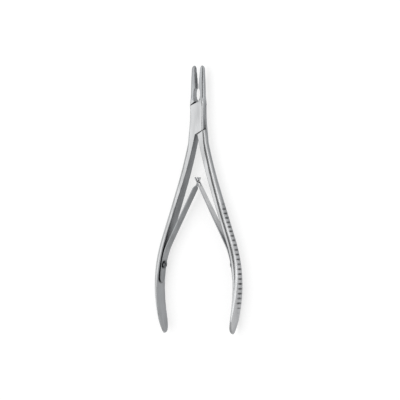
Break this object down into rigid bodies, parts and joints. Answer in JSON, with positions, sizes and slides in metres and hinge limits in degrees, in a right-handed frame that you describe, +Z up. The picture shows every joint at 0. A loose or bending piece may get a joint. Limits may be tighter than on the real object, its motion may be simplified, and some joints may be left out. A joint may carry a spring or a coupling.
{
  "type": "bone rongeur",
  "caption": "Straight bone rongeur with spoon jaws, a single lap joint and two interlocked leaf springs between bowed handles.",
  "frame": {"origin": "middle of the underside of the instrument's bounding box, with the handles half open at rest", "axes": "+Y from the handles to the jaw tips, +X across the handles to the notched one, +Z up through the thickness"},
  "size_m": [0.0514, 0.1404, 0.009],
  "materials": {
    "forged_steel": "satin",
    "spring_steel": "satin",
    "screw_steel": "turned"
  },
  "bodies": {
    "back half": {"back_half": "forged_steel", "right_spring_screw": "screw_steel"},
    "front half": {"front_half": "forged_steel", "pivot_screw": "screw_steel", "left_spring_screw": "screw_steel"},
    "left leaf": {"left_leaf_spring": "spring_steel"},
    "right leaf": {"right_leaf_spring": "spring_steel"}
  },
  "joints": [
    {"name": "jaw closing", "type": "hinge", "parent": "back half", "child": "front half", "pos_m": [0, 0.04267, 0.0045], "axis": [0, 0, 1], "range_deg": [0, 7], "stiffness_Nm_per_rad": 3, "springref_deg": -1.15},
    {"name": "left leaf flex", "type": "hinge", "parent": "front half", "child": "left leaf", "pos_m": [-0.02151, -0.03397, 0.0045], "axis": [0, 0, 1], "range_deg": [0, 2.7]},
    {"name": "right leaf flex", "type": "hinge", "parent": "back half", "child": "right leaf", "pos_m": [0.02151, -0.03397, 0.0045], "axis": [0, 0, -1], "range_deg": [0, 2.7]}
  ],
  "couplings": [
    {"joint": "left leaf flex", "follows": "jaw closing", "ratio": 0.38},
    {"joint": "right leaf flex", "follows": "jaw closing", "ratio": 0.38}
  ]
}
